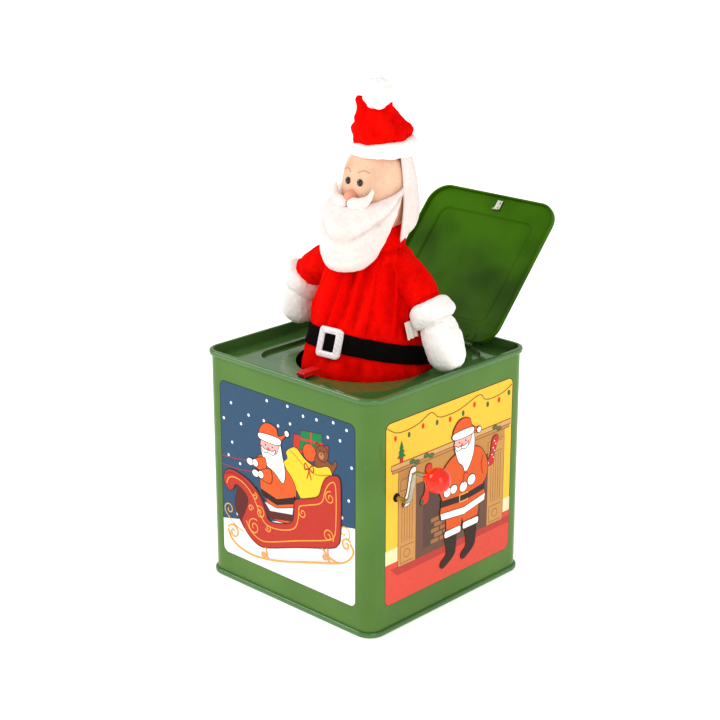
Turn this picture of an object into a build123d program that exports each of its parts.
from build123d import *
import math
import os

# A jack in the box: a square tin with a hand crank, a pin-drum movement that
# trips a latch, a hinged lid, and a plush figure on a spring.
# Origin: centre of the tin's base. +Z up, -Y front, +X the crank side.
# Everything is in millimetres and drawn with the lid open and the figure out.

# ---- driving dimensions ------------------------------------------------------
TIN = 0.45                    # sheet thickness
RIM_W, RIM_R = 140.0, 11.0    # over the rolled rims, and their plan corner radius
BODY_W, BODY_R = 136.7, 9.35  # over the flat walls
BOX_H = 146.5
BEAD_H = 3.4                  # height of a rolled rim
BEAD_ROUND = 1.2
SEAM_FLANGE = 1.6             # how far the walls reach into a rim

FLOOR_Z = 140.5               # upper face of the top panel
RECESS_DEPTH = 2.0
RECESS_Z = FLOOR_Z - RECESS_DEPTH
BASE_Z = 2.0                  # underside of the bottom panel's floor
OPENING_R = 42.5
CURL_R = 0.8                  # rolled edge round the opening

LID_W, LID_L, LID_R = 101.6, 100.0, 14.0
LID_BACK = 54.2               # y of the closed lid's hinge edge
LID_Z = 141.1                 # underside of the closed lid's plate
LID_FLANGE = 2.1
LID_EMBOSS_W, LID_EMBOSS_R, LID_EMBOSS_RISE = 76.2, 7.0, 1.0
LID_EMBOSS_NEAR, LID_EMBOSS_FAR = 13.0, 86.4
LID_EMBOSS_SLOPE = 1.2        # width of the sloping step round the pressed square
LID_OPEN_DEG = 131.6
RECESS_GAP = 0.7

PIN_Y, PIN_Z, PIN_R = 55.6, 142.2, 0.8
KNUCKLE_R, KNUCKLE_COUNT, HINGE_W, KNUCKLE_GAP = 1.5, 5, 72.0, 0.4
LEAF_REACH, RIVET_BACK = 7.6, 5.4
RIVET_XS = (-30, -10, 10, 30)
CATCH_X, CATCH_Y = 4.6, -38.8
CATCH_HALF_W, CATCH_HALF_L, CATCH_T, CATCH_LIP = 2.2, 3.6, 0.8, 2.2
CATCH_RIVET_R, CATCH_RIVET_H = 0.8, 0.4
RUN_FIT = 0.05                # radial clearance of a turning fit
LEAF = 0.4                    # hinge leaf thickness
RIVET_R, RIVET_H = 1.3, 0.6

CRANK_Y, CRANK_Z, WIRE_R = -47.2, 83.05, 1.4
CRANK_INNER_X, CRANK_BEND_X = 54.0, 78.2
CRANK_ARM = (3.2, 17.7)       # y and z from the shaft to the knob's pin
CRANK_PIN_END_X, CRANK_BEND_R = 99.0, 3.0
KNOB_X, KNOB_R = 96.5, 7.4
BUSH_R, BUSH_FLANGE_R, BUSH_FLANGE = 2.6, 3.6, 0.6
COLLAR_R = 3.4

GEAR_MODULE, PINION_TEETH, DRUM_TEETH = 0.8, 12, 24
GEAR_WIDTH, MESH_SLACK = 3.0, 0.25
GEAR_X = 60.0                 # inner face of both gears
DRUM_Y, DRUM_R = -56.0, 7.6
DRUM_X0, DRUM_X1 = 13.0, 53.0
DRUM_SHAFT_R = 1.5
DRUM_PIN_R, DRUM_PIN_H, DRUM_PIN_COLUMNS, DRUM_PINS = 0.35, 0.8, 12, 36
CHEEK_LEFT_X, CHEEK_RIGHT_X, CHEEK_T = 8.0, 56.5, 1.0
COMB_T, COMB_Z0, COMB_Z1, COMB_SLOT = 1.0, 105.6, 124.0, 8.5
COMB_BLOCK_Z = 115.5
COMB_SCREWS_X, COMB_SCREW_Z, COMB_SCREW_R, COMB_SCREW_H = (21, 45), 120.0, 2.0, 1.2

LATCH_X, LATCH_W, LATCH_T = 1.5, 5.0, 1.5
LATCH_PIVOT_Z, LATCH_TOP_Z, LATCH_TAIL_Z = 113.0, 142.4, 101.2
LATCH_NOSE_Y, LATCH_BACK_Y = -42.8, -57.0
LATCH_CAP_Z0, LATCH_CAP_Z1 = 141.95, 144.6
LATCH_PIN_R, LATCH_PIN_HEAD_R = 1.0, 2.0
LATCH_CLIP_R, LATCH_CLIP_T = 2.2, 0.7
LATCH_SPRING_Z, LATCH_SPRING_L, LATCH_SPRING_R = 126.0, 8.4, 1.6
LATCH_SPRING_WIRE, LATCH_SPRING_PITCH = 0.3, 1.2
CAM_R, CAM_LOBE = 3.4, 4.6

AXIS = (2.6, 5.5)             # x and y of the figure's head
HEAD_Z, HEAD_R, HEAD_HALF_H = 243.0, 20.0, 23.0
NECK_R, NECK_Z0 = 11.0, 199.5
SHOULDER_Z, SHOULDER_R = 195.0, 15.0
SPRING_Z0, SPRING_WIRE, SPRING_TURNS = 6.0, 1.0, 8
SPRING_FOOT_R, SPRING_TOP_R = 32.0, 14.6    # tapered, so that it nests flat when pressed down
BASE_PLATE_R, BASE_PLATE_T, BASE_HUB_H = 38.0, 1.2, 6.0
BASE_SCREW_R, BASE_SCREW_H, BASE_SCREW_RING = 2.2, 1.4, 28.0
RING_R, RING_BORE, RING_Z0, RING_H = 37.0, 35.6, 3.7, 4.0

EYE_R, EYE_OUT, EYE_Y, EYE_Z = 2.0, 4.6, -13.2, 250.2
NOSE_R, NOSE_Y, NOSE_Z = 4.2, -16.0, 241.6
MOUSTACHE_T = 3.0
BRIM_Z, BRIM_R, BRIM_T, BRIM_H, BRIM_TILT = 267.5, 19.0, 4.5, 11.0, 4.0
POMPOM_R, POMPOM_AT = 8.8, (8.5, 0.6, 300.0)

ROBE_T = 1.4
CLOTH_GAP = 0.4               # between soft pieces of different bodies
BELT_Z, BELT_H, BELT_T, BELT_TILT = 149.65, 11.0, 1.2, 14.4
BUCKLE_W, BUCKLE_H, BUCKLE_T = 18.2, 17.8, 1.6
BUCKLE_X, BUCKLE_Z = 4.0, 158.4
WINDOW_W, WINDOW_H = 8.0, 10.0
LABEL_X0, LABEL_X1, LABEL_Y0, LABEL_Y1 = 34.0, 38.5, -12.0, -3.0
LABEL_Z0, LABEL_Z1, LABEL_T = 158.0, 168.5, 0.5
SLEEVE_R0, SLEEVE_R1 = 8.5, 11.0
CUFF_R0, CUFF_R1, CUFF_L = 13.5, 14.0, 10.0
MITTEN_R0, MITTEN_R1, MITTEN_R2, MITTEN_WIDEST = 11.5, 13.0, 8.0, 13.0
ARMS = {                      # shoulder, wrist and fingertip
    "left": ((26, 6, 201), (46.5, 6, 182.0), (62, 6, 146.0)),
    "right": ((-24, 2, 199), (-49.5, 2, 184.5), (-61.5, 2, 150.5)),
}

# robe sections: height, half-width, half-depth, centre x, centre y
ROBE_SECTIONS = [
    (9.0, 39.0, 39.0, 0.0, 0.0),
    (138.5, 40.2, 40.2, 0.0, 0.0),
    (155.0, 38.0, 37.0, 0.0, 0.0),
    (175.0, 36.0, 28.0, 0.5, 1.0),
    (192.0, 32.5, 21.5, 1.2, 3.0),
    (204.0, 27.0, 17.5, 2.0, 4.5),
    (211.0, 20.0, 14.0, 2.6, 5.5),
]


# ---- helpers -----------------------------------------------------------------
def prism(w, d, r, z0, z1, y=0.0):
    """Upright block with rounded plan corners, centred on x = 0."""
    plan = Pos(0, y, z0) * RectangleRounded(w, d, r)
    return extrude(plan, z1 - z0)


def frame_ring(w, r, wall, z0, z1):
    """Square tube with rounded corners and an even wall."""
    outer = prism(w, w, r, z0, z1)
    return outer - prism(w - 2 * wall, w - 2 * wall, r - wall, z0 - 1, z1 + 1)


def block(x0, x1, y0, y1, z0, z1):
    """Box between two corners."""
    size = Box(x1 - x0, y1 - y0, z1 - z0)
    return Pos((x0 + x1) / 2, (y0 + y1) / 2, (z0 + z1) / 2) * size


def rod_x(r, x0, x1, y, z):
    """Round bar along X."""
    return Pos((x0 + x1) / 2, y, z) * Rot(0, 90, 0) * Cylinder(r, x1 - x0)


def disc(r, x, y, z0, z1):
    """Round bar along Z."""
    return Pos(x, y, (z0 + z1) / 2) * Cylinder(r, z1 - z0)


def opened(shape):
    """Turns a piece drawn on the closed lid to the open position."""
    hinge = Pos(0, PIN_Y, PIN_Z)
    return hinge * Rot(-LID_OPEN_DEG, 0, 0) * Pos(0, -PIN_Y, -PIN_Z) * shape


def spun(points, x, y):
    """Solid of revolution about a vertical line from (radius, z) points."""
    with BuildLine() as outline:
        Line((0, points[0][1]), points[0])
        Spline(*points)
        Line(points[-1], (0, points[-1][1]))
        Line((0, points[-1][1]), (0, points[0][1]))
    face = Plane.XZ * make_face(outline.line)
    return Pos(x, y, 0) * revolve(face, Axis.Z)


def front_slab(points, x, y0, y1):
    """Closed smooth outline in the front view, pushed through in y."""
    with BuildLine() as outline:
        Spline(*points, periodic=True)
    face = Pos(x, y1, 0) * (Plane.XZ * make_face(outline.line))
    return extrude(face, y1 - y0)


def gear(teeth, x0, x1, y, z, bore, turn=0.0):
    """Spur gear along X with straight-sided teeth."""
    pitch = GEAR_MODULE * teeth / 2
    tip, root = pitch + 0.9 * GEAR_MODULE, pitch - 1.2 * GEAR_MODULE
    step = 2 * math.pi / teeth
    outline = []
    for i in range(teeth):
        mid = i * step + math.radians(turn)
        for r, a in ((root, -0.34), (pitch, -0.235), (tip, -0.13),
                     (tip, 0.13), (pitch, 0.235), (root, 0.34)):
            outline.append((r * math.cos(mid + a * step), r * math.sin(mid + a * step)))
    plan = Plane.YZ * make_face(Polyline(*outline, close=True))
    wheel = Pos(x0, y, z) * extrude(plan, x1 - x0)
    return wheel - rod_x(bore, x0 - 1, x1 + 1, y, z)


def robe_body(grow=0.0):
    """Solid out to the robe's outer face, or to an offset of it."""
    faces = [Pos(cx, cy, z) * Ellipse(a + grow, b + grow)
             for z, a, b, cx, cy in ROBE_SECTIONS]
    return loft(Sketch() + faces, ruled=True)


nodes = {}


# ---- the tin -----------------------------------------------------------------
def make_body_shell():
    z0, z1 = BEAD_H - SEAM_FLANGE, BOX_H - BEAD_H + SEAM_FLANGE
    walls = frame_ring(BODY_W, BODY_R, TIN, z0, z1)
    inner = BODY_W / 2 - TIN
    lock_seam = block(-3, 3, inner - TIN, inner, BEAD_H + 1, FLOOR_Z - 3)
    hole = rod_x(BUSH_R, inner - 1, BODY_W / 2 + 1, CRANK_Y, CRANK_Z)
    return walls + lock_seam - hole


def make_bead(z0, z1):
    """Rolled rim with the slot that grips the walls' edge left open."""
    wall = (RIM_W - BODY_W) / 2 + 2 * TIN
    bead = frame_ring(RIM_W, RIM_R, wall, z0, z1)
    level = bead.edges().filter_by(lambda e: abs(e.center().Z - z0) < 0.01
                                   or abs(e.center().Z - z1) < 0.01)
    outer = level.filter_by(lambda e: max(abs(e.center().X), abs(e.center().Y))
                            > BODY_W / 2)
    return fillet(outer, BEAD_ROUND)


def make_top_panel():
    bead = make_bead(BOX_H - BEAD_H, BOX_H)
    slot = frame_ring(BODY_W, BODY_R, TIN, BOX_H - BEAD_H - 1,
                      BOX_H - BEAD_H + SEAM_FLANGE)
    wall_w, wall_r = BODY_W - 2 * TIN, BODY_R - TIN
    skirt = frame_ring(wall_w, wall_r, TIN, FLOOR_Z - TIN, BOX_H - BEAD_H + TIN)
    floor = prism(wall_w, wall_w, wall_r, FLOOR_Z - TIN, FLOOR_Z)
    pan_w = LID_W + 2 * RECESS_GAP
    pan_l = LID_L + 2 * RECESS_GAP
    pan_y = LID_BACK - LID_L / 2
    pan = prism(pan_w, pan_l, LID_R + RECESS_GAP, RECESS_Z - TIN, FLOOR_Z + 1, pan_y)
    pan_wall = prism(pan_w + 2 * TIN, pan_l + 2 * TIN, LID_R + RECESS_GAP + TIN,
                     RECESS_Z - TIN, FLOOR_Z, pan_y)
    pan_space = prism(pan_w, pan_l, LID_R + RECESS_GAP, RECESS_Z, FLOOR_Z + 1, pan_y)
    opening = disc(OPENING_R, 0, 0, RECESS_Z - 5, FLOOR_Z + 1)
    curl = Pos(0, 0, RECESS_Z - CURL_R) * Torus(OPENING_R + CURL_R, CURL_R)
    latch_slot = block(LATCH_X - LATCH_W / 2 - 0.6, LATCH_X + LATCH_W / 2 + 0.6,
                       -61.0, -53.2, FLOOR_Z - 2, FLOOR_Z + 1)
    panel = bead - slot + skirt + (floor - pan) + (pan_wall - pan_space)
    return panel - opening + curl - latch_slot


def make_bottom_panel():
    slot = frame_ring(BODY_W, BODY_R, TIN, BEAD_H - SEAM_FLANGE, BEAD_H + 1)
    wall_w, wall_r = BODY_W - 2 * TIN, BODY_R - TIN
    floor = prism(wall_w, wall_w, wall_r, BASE_Z, BASE_Z + TIN)
    return make_bead(0, BEAD_H) - slot + floor


nodes["body_shell"] = make_body_shell()
nodes["top_panel"] = make_top_panel()
nodes["bottom_panel"] = make_bottom_panel()


# ---- the lid and its hinge ---------------------------------------------------
def stepped(w, d, r, z0, z1, y):
    """Low block whose sides slope inward to the top, as a pressed square does."""
    inset = LID_EMBOSS_SLOPE
    foot = Pos(0, y, z0) * RectangleRounded(w, d, r)
    crown = Pos(0, y, z1) * RectangleRounded(w - 2 * inset, d - 2 * inset, r - inset)
    return loft([foot, crown])


def make_lid():
    mid_y = LID_BACK - LID_L / 2
    top = LID_Z + TIN
    plate = prism(LID_W, LID_L, LID_R, LID_Z, top, mid_y)
    flange = prism(LID_W, LID_L, LID_R, LID_Z - LID_FLANGE, LID_Z, mid_y)
    flange -= prism(LID_W - 2, LID_L - 2, LID_R - 1, 0, BOX_H, mid_y)
    leaf_gap = block(-HINGE_W / 2 - 1, HINGE_W / 2 + 1, LID_BACK - 3, LID_BACK + 1,
                     LID_Z - 5, LID_Z)
    emboss_l = LID_EMBOSS_FAR - LID_EMBOSS_NEAR
    emboss_y = LID_BACK - (LID_EMBOSS_FAR + LID_EMBOSS_NEAR) / 2
    raised = stepped(LID_EMBOSS_W, emboss_l, LID_EMBOSS_R, LID_Z,
                     top + LID_EMBOSS_RISE, emboss_y)
    hollow = stepped(LID_EMBOSS_W - 2 * TIN, emboss_l - 2 * TIN, LID_EMBOSS_R - TIN,
                     LID_Z, LID_Z + LID_EMBOSS_RISE, emboss_y)
    return plate + (flange - leaf_gap) + raised - hollow


def make_leaf(first, y0, y1, z0, z1, lug=False):
    """One hinge leaf with every second knuckle, starting from the given one."""
    pitch = HINGE_W / KNUCKLE_COUNT
    leaf = block(-HINGE_W / 2, HINGE_W / 2, y0, y1, z0, z1)
    clear = rod_x(KNUCKLE_R + 0.3, -HINGE_W, HINGE_W, PIN_Y, PIN_Z)
    leaf -= clear
    for i in range(KNUCKLE_COUNT):
        x0 = -HINGE_W / 2 + i * pitch + KNUCKLE_GAP / 2
        x1 = x0 + pitch - KNUCKLE_GAP
        if i % 2 == first:
            leaf += rod_x(KNUCKLE_R, x0, x1, PIN_Y, PIN_Z)
            leaf += block(x0, x1, min(PIN_Y, y0), max(PIN_Y, y1), z0, z1)
            if lug:
                stop = block(x0 + 5, x0 + 8, PIN_Y - 0.4, PIN_Y + 0.4,
                             PIN_Z + 1, PIN_Z + 1.95)
                leaf += stop
        else:
            leaf -= block(x0 - KNUCKLE_GAP, x1 + KNUCKLE_GAP, PIN_Y - 2.2, PIN_Y + 2.2,
                          z0 - 1, z1 + 1)
    return leaf - rod_x(PIN_R + (RUN_FIT if lug else 0), -HINGE_W, HINGE_W, PIN_Y, PIN_Z)


def make_rivets(y, z0, z1):
    """Row of flat rivet heads along a hinge leaf."""
    return Part() + [disc(RIVET_R, x, y, z0, z1) for x in RIVET_XS]


lid_leaf = make_leaf(1, PIN_Y - LEAF_REACH, PIN_Y, LID_Z - LEAF, LID_Z, lug=True)
box_leaf = make_leaf(0, PIN_Y, PIN_Y + LEAF_REACH, FLOOR_Z, FLOOR_Z + LEAF)
box_rivets = make_rivets(PIN_Y + RIVET_BACK, FLOOR_Z + LEAF, FLOOR_Z + LEAF + RIVET_H)
lid_rivets = make_rivets(PIN_Y - RIVET_BACK, LID_Z - LEAF - RIVET_H, LID_Z - LEAF)


def make_catch():
    """Small plate with a turned-down lip that the latch hooks over."""
    x0, x1 = CATCH_X - CATCH_HALF_W, CATCH_X + CATCH_HALF_W
    y0, y1 = CATCH_Y - CATCH_HALF_L, CATCH_Y + CATCH_HALF_L
    catch = block(x0, x1, y0, y1, LID_Z - CATCH_T, LID_Z)
    return catch + block(x0, x1, y1 - CATCH_T, y1, LID_Z - CATCH_LIP, LID_Z)


def make_catch_rivets():
    top = LID_Z - CATCH_T
    return Part() + [disc(CATCH_RIVET_R, CATCH_X, CATCH_Y + step, top - CATCH_RIVET_H, top)
                     for step in (-1.8, 1.2)]


nodes["lid"] = opened(make_lid())
nodes["lid_leaf"] = opened(lid_leaf)
nodes["lid_leaf_rivets"] = opened(lid_rivets)
nodes["lid_catch"] = opened(make_catch())
nodes["lid_catch_rivets"] = opened(make_catch_rivets())
nodes["box_leaf"] = box_leaf
nodes["box_leaf_rivets"] = box_rivets
nodes["hinge_pin"] = rod_x(PIN_R, -HINGE_W / 2 - 0.6, HINGE_W / 2 + 0.6, PIN_Y, PIN_Z)


# ---- crank, gears and pin drum -----------------------------------------------
WALL_IN = BODY_W / 2 - TIN
GEAR_CENTRES = GEAR_MODULE * (PINION_TEETH + DRUM_TEETH) / 2 + MESH_SLACK
DRUM_Z = CRANK_Z + math.sqrt(GEAR_CENTRES ** 2 - (DRUM_Y - CRANK_Y) ** 2)
MESH_DEG = math.degrees(math.atan2(DRUM_Z - CRANK_Z, DRUM_Y - CRANK_Y))


def make_crank():
    arm_y, arm_z = CRANK_Y + CRANK_ARM[0], CRANK_Z + CRANK_ARM[1]
    route = [(CRANK_INNER_X, CRANK_Y, CRANK_Z), (CRANK_BEND_X, CRANK_Y, CRANK_Z),
             (CRANK_BEND_X + 1.2, arm_y, arm_z), (CRANK_PIN_END_X, arm_y, arm_z)]
    path = FilletPolyline(*route, radius=CRANK_BEND_R)
    start = Plane(origin=route[0], z_dir=(1, 0, 0))
    return sweep(start * Circle(WIRE_R), path=path)


def make_knob():
    y, z = CRANK_Y + CRANK_ARM[0], CRANK_Z + CRANK_ARM[1]
    neck = rod_x(3.4, KNOB_X - KNOB_R - 0.8, KNOB_X, y, z)
    bore = rod_x(WIRE_R + RUN_FIT, KNOB_X - KNOB_R - 2, CRANK_PIN_END_X + 0.3, y, z)
    return Pos(KNOB_X, y, z) * Sphere(KNOB_R) + neck - bore


def make_drum():
    barrel = rod_x(DRUM_R, DRUM_X0, DRUM_X1, DRUM_Y, DRUM_Z)
    reach = DRUM_R + DRUM_PIN_H
    pitch = (DRUM_X1 - DRUM_X0 - 4) / (DRUM_PIN_COLUMNS - 1)
    for i in range(DRUM_PINS):
        x = DRUM_X0 + 2 + (i * 5 % DRUM_PIN_COLUMNS) * pitch
        turn = 360 * i / DRUM_PINS
        pin = Pos(0, 0, reach / 2) * Cylinder(DRUM_PIN_R, reach)
        barrel += Pos(x, DRUM_Y, DRUM_Z) * Rot(turn, 0, 0) * pin
    return barrel - rod_x(DRUM_SHAFT_R, 0, 70, DRUM_Y, DRUM_Z)


def make_movement_frame():
    """Bent sheet bracket on the front wall with two cheeks and a comb seat."""
    back_y = -WALL_IN
    plate = block(CHEEK_LEFT_X, CHEEK_RIGHT_X + CHEEK_T, back_y, back_y + CHEEK_T, 70, 126)
    left = block(CHEEK_LEFT_X, CHEEK_LEFT_X + CHEEK_T, back_y, -50, 84, 120)
    right = block(CHEEK_RIGHT_X, CHEEK_RIGHT_X + CHEEK_T, back_y, -43.6, 74, 108)
    bracket = plate + left + right
    for x in (CHEEK_LEFT_X, CHEEK_RIGHT_X):
        bracket -= rod_x(DRUM_SHAFT_R + RUN_FIT, x - 1, x + 2, DRUM_Y, DRUM_Z)
    bracket -= rod_x(WIRE_R + RUN_FIT, CHEEK_RIGHT_X - 1, CHEEK_RIGHT_X + 2,
                     CRANK_Y, CRANK_Z)
    return bracket - rod_x(LATCH_PIN_R, CHEEK_LEFT_X - 1, CHEEK_LEFT_X + 2,
                           DRUM_Y, LATCH_PIVOT_Z)


def make_comb():
    """Steel comb whose teeth end just clear of the drum's pins."""
    x0, x1 = DRUM_X0, DRUM_X1
    comb = block(x0, x1, DRUM_Y - COMB_T / 2, DRUM_Y + COMB_T / 2, COMB_Z0, COMB_Z1)
    pitch = (x1 - x0) / DRUM_PIN_COLUMNS
    for i in range(1, DRUM_PIN_COLUMNS):
        x = x0 + i * pitch
        comb -= block(x - 0.5, x + 0.5, DRUM_Y - 1, DRUM_Y + 1,
                      COMB_Z0 - 1, COMB_Z0 + COMB_SLOT)
    return comb


def make_comb_screws():
    """Slotted screws that hold the comb to its seat."""
    screws = Part()
    face_y = DRUM_Y + COMB_T / 2
    for x in COMB_SCREWS_X:
        place = Pos(x, face_y + COMB_SCREW_H / 2, COMB_SCREW_Z)
        head = place * Rot(90, 0, 0) * Cylinder(COMB_SCREW_R, COMB_SCREW_H)
        screws += head - block(x - 3, x + 3, face_y + 0.8, face_y + 2,
                               COMB_SCREW_Z - 0.25, COMB_SCREW_Z + 0.25)
    return screws


def make_trip_cam():
    cam = rod_x(CAM_R, -1.0, 4.0, DRUM_Y, DRUM_Z)
    lobe = Rot(200, 0, 0) * Pos(0, 0, CAM_LOBE / 2) * Box(5, 2.4, CAM_LOBE)
    return cam + Pos(1.5, DRUM_Y, DRUM_Z) * lobe - rod_x(DRUM_SHAFT_R, -9, 9, DRUM_Y, DRUM_Z)


nodes["crank"] = make_crank()
nodes["crank_knob"] = make_knob()
crank_bush = rod_x(BUSH_R, WALL_IN - 1.2, BODY_W / 2 + 0.4, CRANK_Y, CRANK_Z)
crank_bush += rod_x(BUSH_FLANGE_R, WALL_IN - BUSH_FLANGE, WALL_IN, CRANK_Y, CRANK_Z)
nodes["crank_bush"] = crank_bush - rod_x(WIRE_R + RUN_FIT, 60, 80, CRANK_Y, CRANK_Z)
collar = rod_x(COLLAR_R, WALL_IN - 3.6, WALL_IN - 1.6, CRANK_Y, CRANK_Z)
nodes["crank_collar"] = collar - rod_x(WIRE_R, 60, 80, CRANK_Y, CRANK_Z)
drum_turn = MESH_DEG + 180 + 180 / DRUM_TEETH
nodes["pinion"] = gear(PINION_TEETH, GEAR_X, GEAR_X + GEAR_WIDTH, CRANK_Y, CRANK_Z,
                       WIRE_R, MESH_DEG)
nodes["drum_gear"] = gear(DRUM_TEETH, GEAR_X, GEAR_X + GEAR_WIDTH, DRUM_Y, DRUM_Z,
                          DRUM_SHAFT_R, drum_turn)
nodes["drum"] = make_drum()
nodes["drum_shaft"] = rod_x(DRUM_SHAFT_R, -1.6, GEAR_X + GEAR_WIDTH + 1, DRUM_Y, DRUM_Z)
nodes["trip_cam"] = make_trip_cam()
nodes["movement_frame"] = make_movement_frame()
nodes["comb"] = make_comb()
nodes["comb_block"] = block(DRUM_X0, DRUM_X1, -WALL_IN + CHEEK_T, DRUM_Y - COMB_T / 2,
                            COMB_BLOCK_Z, COMB_Z1)
nodes["comb_screws"] = make_comb_screws()


# ---- the latch ---------------------------------------------------------------
def make_latch_lever():
    x0, x1 = LATCH_X - LATCH_W / 2, LATCH_X + LATCH_W / 2
    y0, y1 = DRUM_Y - LATCH_T / 2, DRUM_Y + LATCH_T / 2
    lever = block(x0, x1, y0, y1, LATCH_TAIL_Z, LATCH_TOP_Z)
    lever += rod_x(2.2, x0, x1, DRUM_Y, LATCH_PIVOT_Z)
    return lever - rod_x(LATCH_PIN_R + RUN_FIT, x0 - 1, x1 + 1, DRUM_Y, LATCH_PIVOT_Z)


def make_latch_cap():
    """Soft red cap on the lever: a hook over the lid's edge and a thumb rest."""
    x0, x1 = LATCH_X - 3, LATCH_X + 3
    cap = block(x0, x1, LATCH_BACK_Y, LATCH_NOSE_Y, LATCH_CAP_Z0, LATCH_CAP_Z1)
    cap = fillet(cap.edges().filter_by(Axis.X), 1.0)
    y0, y1 = DRUM_Y - LATCH_T / 2, DRUM_Y + LATCH_T / 2
    socket = block(LATCH_X - LATCH_W / 2, LATCH_X + LATCH_W / 2, y0, y1, 0, LATCH_TOP_Z)
    return cap - socket


nodes["latch_lever"] = make_latch_lever()
nodes["latch_cap"] = make_latch_cap()
latch_right = LATCH_X + LATCH_W / 2
latch_pin = rod_x(LATCH_PIN_R, -3.2, CHEEK_LEFT_X + CHEEK_T, DRUM_Y, LATCH_PIVOT_Z)
latch_pin += rod_x(LATCH_PIN_HEAD_R, latch_right + 0.3, latch_right + 1.1, DRUM_Y, LATCH_PIVOT_Z)
nodes["latch_pin"] = latch_pin
clip = rod_x(LATCH_CLIP_R, -1.5 - LATCH_CLIP_T, -1.5, DRUM_Y, LATCH_PIVOT_Z)
nodes["latch_clip"] = clip - rod_x(LATCH_PIN_R, -9, 9, DRUM_Y, LATCH_PIVOT_Z)


def coil_spring(radius, wire, pitch, height, widening=0.0):
    """Round wire wound upward from the origin, at a cone angle if it widens."""
    path = Helix(pitch=pitch, height=height, radius=radius, cone_angle=widening)
    start = Plane(origin=path @ 0, z_dir=path % 0)
    return sweep(start * Circle(wire), path=path, is_frenet=True)


latch_coil = coil_spring(LATCH_SPRING_R, LATCH_SPRING_WIRE, LATCH_SPRING_PITCH, LATCH_SPRING_L)
latch_coil_place = Pos(LATCH_X, -WALL_IN + 0.4, LATCH_SPRING_Z)
nodes["latch_spring"] = latch_coil_place * Rot(-90, 0, 0) * latch_coil


# ---- spring, base cup and shoulder disc --------------------------------------
def make_spring_base():
    """Round plate with a short cup that centres the spring."""
    z = BASE_Z + TIN
    base = disc(BASE_PLATE_R, 0, 0, z, z + BASE_PLATE_T)
    bore = SPRING_FOOT_R + SPRING_WIRE + 0.3
    hub = disc(bore + BASE_PLATE_T, 0, 0, z, z + BASE_HUB_H)
    hub -= disc(bore, 0, 0, z + BASE_PLATE_T, z + BASE_HUB_H + 1)
    return base + hub


def make_base_screws():
    screws = Part()
    z = BASE_Z + TIN + BASE_PLATE_T
    for turn in range(45, 360, 90):
        x = BASE_SCREW_RING * math.cos(math.radians(turn))
        y = BASE_SCREW_RING * math.sin(math.radians(turn))
        screws += disc(BASE_SCREW_R, x, y, z, z + BASE_SCREW_H)
    return screws


spring_rise = SHOULDER_Z - 2 - SPRING_Z0
taper = math.degrees(math.atan((SPRING_FOOT_R - SPRING_TOP_R) / spring_rise))
main_coil = coil_spring(SPRING_TOP_R, SPRING_WIRE, spring_rise / SPRING_TURNS, spring_rise, taper)
nodes["main_spring"] = Pos(0, 0, SHOULDER_Z - 2) * Rot(180, 0, 0) * main_coil
nodes["spring_base"] = make_spring_base()
nodes["spring_base_screws"] = make_base_screws()
ring = disc(RING_R, 0, 0, RING_Z0, RING_Z0 + RING_H)
nodes["robe_ring"] = ring - disc(RING_BORE, 0, 0, 0, RING_Z0 + RING_H + 1)
nodes["shoulder_disc"] = disc(SHOULDER_R, *AXIS, SHOULDER_Z, NECK_Z0)


# ---- the figure's head -------------------------------------------------------
def head_body(grow=0.0):
    """Egg-shaped head on a short neck, or an offset of it."""
    points = []
    for step in range(2, 11):
        a = math.radians(-90 + 18 * step)
        points.append(((HEAD_R + grow) * math.cos(a) + 0.01,
                       HEAD_Z + (HEAD_HALF_H + grow) * math.sin(a)))
    neck = disc(NECK_R + grow, *AXIS, NECK_Z0, HEAD_Z - 10)
    return spun(points, *AXIS) + neck


head = head_body()
robe_outer = robe_body()
robe_clear = robe_body(CLOTH_GAP)

beard_bulk = spun([(15, 188), (23, 196), (26.5, 208), (27, 220), (25, 232), (21.6, 247)], *AXIS)
beard_outline = [(0, 235), (12, 238.5), (20.5, 247), (25.5, 232), (24, 212), (14, 195),
                 (0, 189.5), (-14, 195), (-24, 212), (-25.5, 232), (-20.5, 247), (-12, 238.5)]
beard = beard_bulk & front_slab(beard_outline, AXIS[0], -40, AXIS[1] + 2)
beard = beard - head - robe_clear

MOUSTACHE = [(0.4, 239.5), (5, 243.2), (10, 243.6), (15.5, 248.5), (13.5, 241),
             (8, 236.8), (2.5, 236.2)]
moustache = Part()
for side in (1, -1):
    outline = [(side * x, z) for x, z in MOUSTACHE]
    moustache += head_body(MOUSTACHE_T) & front_slab(outline, AXIS[0], -40, AXIS[1])
moustache = moustache - head - beard

eyes = Part()
for side in (1, -1):
    eyes += Pos(AXIS[0] + side * EYE_OUT, EYE_Y, EYE_Z) * Sphere(EYE_R)
eyes = eyes - head
nose = Pos(AXIS[0] - 0.6, NOSE_Y, NOSE_Z) * Sphere(NOSE_R)
nose = nose - head
moustache = moustache - nose
beard = beard - nose

hair = spun([(24.5, 213), (25.5, 224), (25, 240), (22.5, 256), (20.0, 263)], *AXIS)
hair &= block(-40, 45, AXIS[1] - 1, 60, 200, 262)
hair = hair - head - robe_clear - beard
inside_hair = spun([(19.5, 205), (21.5, 224), (20.2, 243), (17, 256), (15, 270)], *AXIS)
hair = hair - (inside_hair & block(-40, 45, -40, 60, 200, 236))

brim_place = Pos(AXIS[0], AXIS[1], BRIM_Z) * Rot(BRIM_TILT, -BRIM_TILT, 0)
brim = Cylinder(BRIM_R + BRIM_T, BRIM_H) - Cylinder(BRIM_R - 4, 2 * BRIM_H)
brim = brim_place * brim
brim = fillet(brim.edges(), 3.0) - head - hair

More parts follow.
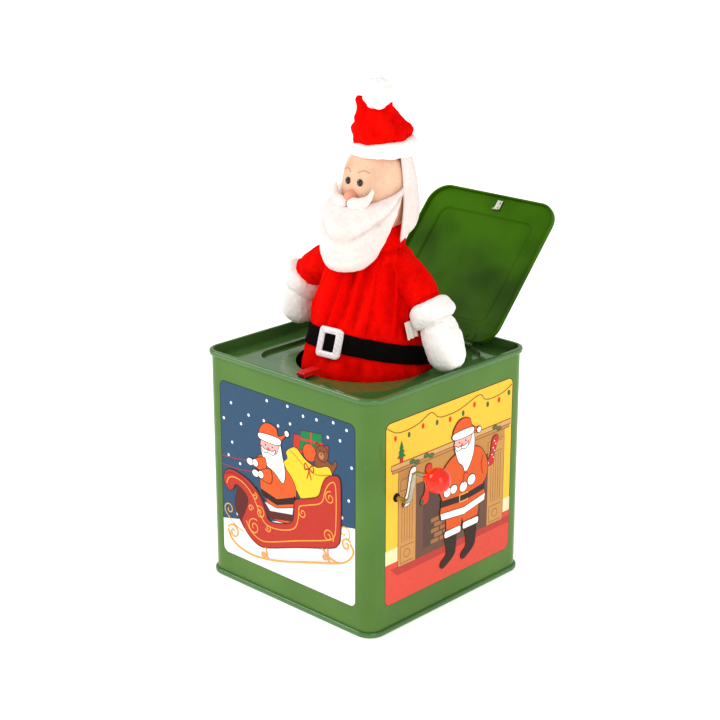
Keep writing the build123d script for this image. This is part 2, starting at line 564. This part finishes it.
hat_sections = [(272.0, 20.5, 0.0), (281.0, 18.5, 0.5), (289.0, 13.0, -1.0), (296.0, 6.5, -4.0)]
hat = loft(Sketch() + [Pos(AXIS[0] + dx, AXIS[1], z) * Circle(r) for z, r, dx in hat_sections])
hat = hat - brim - head
pompom = Pos(*POMPOM_AT) * Sphere(POMPOM_R) - hat

nodes["head"] = head
nodes["eyes"] = eyes
nodes["nose"] = nose
nodes["moustache"] = moustache
nodes["beard"] = beard
nodes["hair"] = hair
nodes["hat_brim"] = brim
nodes["hat"] = hat
nodes["pompom"] = pompom


# ---- robe, belt and arms -----------------------------------------------------
def tilted_slab(height):
    """Thick level plate tipped the way the belt sits."""
    return Pos(0, 0, BELT_Z) * Rot(-BELT_TILT, 0, 0) * Box(200, 200, height)


neck_hole = disc(NECK_R + 1.2, *AXIS, 200, 220)
robe_inner = robe_body(-ROBE_T) - block(-50, 50, -50, 50, 206, 230)
robe = robe_outer - robe_inner - disc(37.4, 0, 0, 0, 12) - neck_hole
belt = (robe_body(BELT_T) & tilted_slab(BELT_H)) - robe_outer
plate = block(BUCKLE_X - BUCKLE_W / 2, BUCKLE_X + BUCKLE_W / 2, -42, -30,
              BUCKLE_Z - BUCKLE_H / 2, BUCKLE_Z + BUCKLE_H / 2)
window = block(BUCKLE_X - WINDOW_W / 2, BUCKLE_X + WINDOW_W / 2, -50, -20,
               BUCKLE_Z - WINDOW_H / 2, BUCKLE_Z + WINDOW_H / 2)
buckle = (robe_body(BELT_T + BUCKLE_T) & plate) - robe_body(BELT_T) - window
label = block(LABEL_X1 - LABEL_T, LABEL_X1, LABEL_Y0, LABEL_Y1, LABEL_Z0, LABEL_Z1)
label += block(LABEL_X0, LABEL_X1, LABEL_Y0, LABEL_Y1, LABEL_Z1 - LABEL_T, LABEL_Z1)


def make_arm(side, shoulder, wrist, tip):
    """Sleeve, cuff and mitten along one bent line, all clear of the robe."""
    sh, wr, ti = Vector(*shoulder), Vector(*wrist), Vector(*tip)
    along = (wr - sh).normalized()
    hand = (ti - wr).normalized()
    cuff_end = wr + hand * CUFF_L
    widest = cuff_end + hand * MITTEN_WIDEST

    def tapered(*sections):
        """Loft through circles given as (centre, direction, radius)."""
        return loft(Sketch() + [Plane(origin=at, z_dir=way) * Circle(r)
                                for at, way, r in sections])

    sleeve = tapered((sh, along, SLEEVE_R0), (wr, along, SLEEVE_R1))
    cuff = tapered((wr, hand, CUFF_R0), (cuff_end, hand, CUFF_R1))
    mitten = tapered((cuff_end, hand, MITTEN_R0), (widest, hand, MITTEN_R1),
                     (ti - hand * 2, hand, MITTEN_R2))
    sleeve = sleeve - robe_clear - cuff
    mitten = mitten - cuff
    nodes["sleeve_" + side] = sleeve
    nodes["cuff_" + side] = cuff - robe_clear
    nodes["mitten_" + side] = mitten - robe_clear


for side, line in ARMS.items():
    make_arm(side, *line)

nodes["robe"] = robe
nodes["belt"] = belt
nodes["buckle"] = buckle
nodes["care_label"] = label - robe_outer - belt


# ---- writing -----------------------------------------------------------------
os.makedirs("parts", exist_ok=True)
for name, shape in nodes.items():
    export_step(Compound(children=list(shape.solids())), "parts/" + name + ".step")
    print(name, len(shape.solids()), round(shape.volume, 1))
